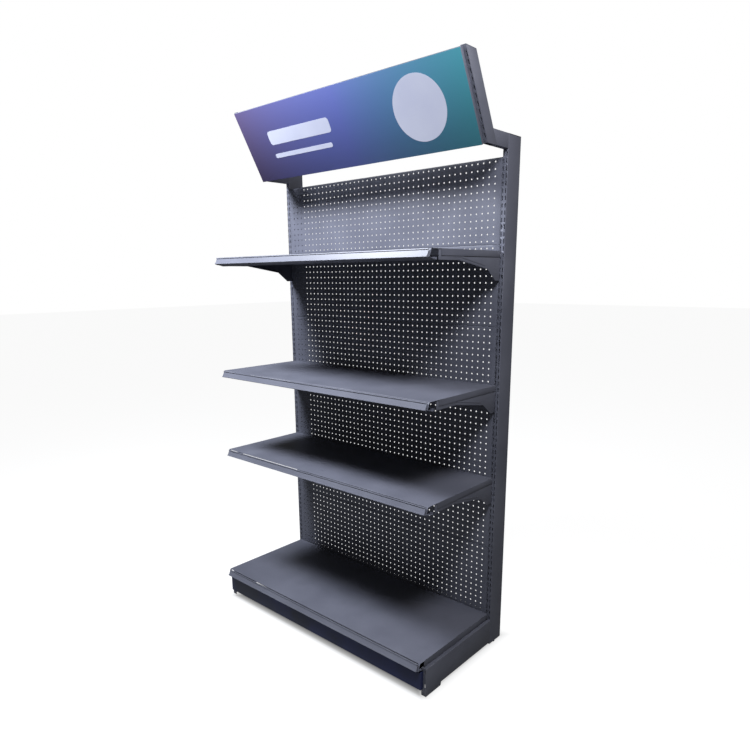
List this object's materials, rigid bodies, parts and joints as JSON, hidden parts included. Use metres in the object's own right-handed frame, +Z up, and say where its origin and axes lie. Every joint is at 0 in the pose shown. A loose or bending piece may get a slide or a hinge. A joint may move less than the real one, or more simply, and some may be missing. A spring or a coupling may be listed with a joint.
{
  "type": "pegboard display stand",
  "caption": "Freestanding shop display stand with slotted uprights, a pegboard back, hook-in shelves with price rails, a base deck with a kick plate, and a sign leaning forward over the top.",
  "frame": {"origin": "on the floor, at the middle of the stand's width and depth", "axes": "+Z up, -Y out of the front where the shelves reach, +X to the right as seen from the front"},
  "size_m": [1.2, 0.572, 2.2358],
  "materials": {
    "coat": "blue-grey powder coat, satin, on folded steel sheet",
    "rail": "pale lavender-silver coat, satin",
    "kick_blue": "navy powder coat, satin",
    "print": "printed face sheet, semi-gloss",
    "zinc": "zinc plated",
    "black_plastic": "moulded, matt"
  },
  "bodies": {
    "frame": {"upright_left": "coat", "upright_right": "coat", "upright_cap_left": "black_plastic", "upright_cap_right": "black_plastic", "foot_left": "coat", "foot_right": "coat", "leveller_pad_front_left": "black_plastic", "leveller_pad_front_right": "black_plastic", "leveller_pad_rear_left": "black_plastic", "leveller_pad_rear_right": "black_plastic", "tie_beam_lower": "coat", "tie_beam_middle": "coat", "back_panel_1": "coat", "back_panel_2": "coat", "back_panel_3": "coat", "back_panel_4": "coat", "back_panel_5": "coat", "back_panel_6": "coat", "base_back_panel": "coat", "sign_elbow_left": "coat", "sign_elbow_right": "coat", "sign_arm_left": "coat", "sign_arm_right": "coat", "sign_arm_cap_left": "coat", "sign_arm_cap_right": "coat"},
    "bracket_1_left": {"bracket_1_left": "coat"},
    "bracket_1_right": {"bracket_1_right": "coat"},
    "bracket_2_left": {"bracket_2_left": "coat"},
    "bracket_2_right": {"bracket_2_right": "coat"},
    "bracket_3_left": {"bracket_3_left": "coat"},
    "bracket_3_right": {"bracket_3_right": "coat"},
    "shelf_1": {"shelf_1": "coat", "price_rail_1": "rail"},
    "shelf_2": {"shelf_2": "coat", "price_rail_2": "rail"},
    "shelf_3": {"shelf_3": "coat", "price_rail_3": "rail"},
    "base_deck": {"base_deck": "coat", "price_rail_base": "rail"},
    "kick_plate": {"kick_plate": "kick_blue"},
    "sign": {"sign_panel": "coat", "sign_graphic": "print"},
    "leveller_front_left": {"leveller_stud_front_left": "zinc"},
    "leveller_front_right": {"leveller_stud_front_right": "zinc"},
    "leveller_rear_left": {"leveller_stud_rear_left": "zinc"},
    "leveller_rear_right": {"leveller_stud_rear_right": "zinc"}
  },
  "joints": [
    {"name": "shelf_1_unhook", "type": "slide", "parent": "frame", "child": "bracket_1_left", "axis": [0, 0, 1], "range_m": [0, 0.008]},
    {"name": "shelf_1_unhook_right", "type": "slide", "parent": "frame", "child": "bracket_1_right", "axis": [0, 0, 1], "range_m": [0, 0.008]},
    {"name": "shelf_1_lift", "type": "slide", "parent": "bracket_1_left", "child": "shelf_1", "axis": [0, 0, 1], "range_m": [0, 0.05]},
    {"name": "shelf_2_unhook", "type": "slide", "parent": "frame", "child": "bracket_2_left", "axis": [0, 0, 1], "range_m": [0, 0.008]},
    {"name": "shelf_2_unhook_right", "type": "slide", "parent": "frame", "child": "bracket_2_right", "axis": [0, 0, 1], "range_m": [0, 0.008]},
    {"name": "shelf_2_lift", "type": "slide", "parent": "bracket_2_left", "child": "shelf_2", "axis": [0, 0, 1], "range_m": [0, 0.05]},
    {"name": "shelf_3_unhook", "type": "slide", "parent": "frame", "child": "bracket_3_left", "axis": [0, 0, 1], "range_m": [0, 0.008]},
    {"name": "shelf_3_unhook_right", "type": "slide", "parent": "frame", "child": "bracket_3_right", "axis": [0, 0, 1], "range_m": [0, 0.008]},
    {"name": "shelf_3_lift", "type": "slide", "parent": "bracket_3_left", "child": "shelf_3", "axis": [0, 0, 1], "range_m": [0, 0.05]},
    {"name": "deck_lift", "type": "slide", "parent": "frame", "child": "base_deck", "axis": [0, 0, 1], "range_m": [0, 0.06]},
    {"name": "kick_lift", "type": "slide", "parent": "frame", "child": "kick_plate", "axis": [0, 0, 1], "range_m": [0, 0.008]},
    {"name": "sign_lift", "type": "slide", "parent": "frame", "child": "sign", "axis": [0, -0.4772, 0.8788], "range_m": [0, 0.008]},
    {"name": "level_front_left", "type": "hinge", "parent": "frame", "child": "leveller_front_left", "pos_m": [-0.589, -0.2, 0.02], "axis": [0, 0, 1], "continuous": true},
    {"name": "level_front_right", "type": "hinge", "parent": "frame", "child": "leveller_front_right", "pos_m": [0.589, -0.2, 0.02], "axis": [0, 0, 1], "continuous": true},
    {"name": "level_rear_left", "type": "hinge", "parent": "frame", "child": "leveller_rear_left", "pos_m": [-0.589, 0.242, 0.02], "axis": [0, 0, 1], "continuous": true},
    {"name": "level_rear_right", "type": "hinge", "parent": "frame", "child": "leveller_rear_right", "pos_m": [0.589, 0.242, 0.02], "axis": [0, 0, 1], "continuous": true}
  ],
  "couplings": [
    {"joint": "shelf_1_unhook_right", "follows": "shelf_1_unhook", "ratio": 1},
    {"joint": "shelf_2_unhook_right", "follows": "shelf_2_unhook", "ratio": 1},
    {"joint": "shelf_3_unhook_right", "follows": "shelf_3_unhook", "ratio": 1}
  ]
}
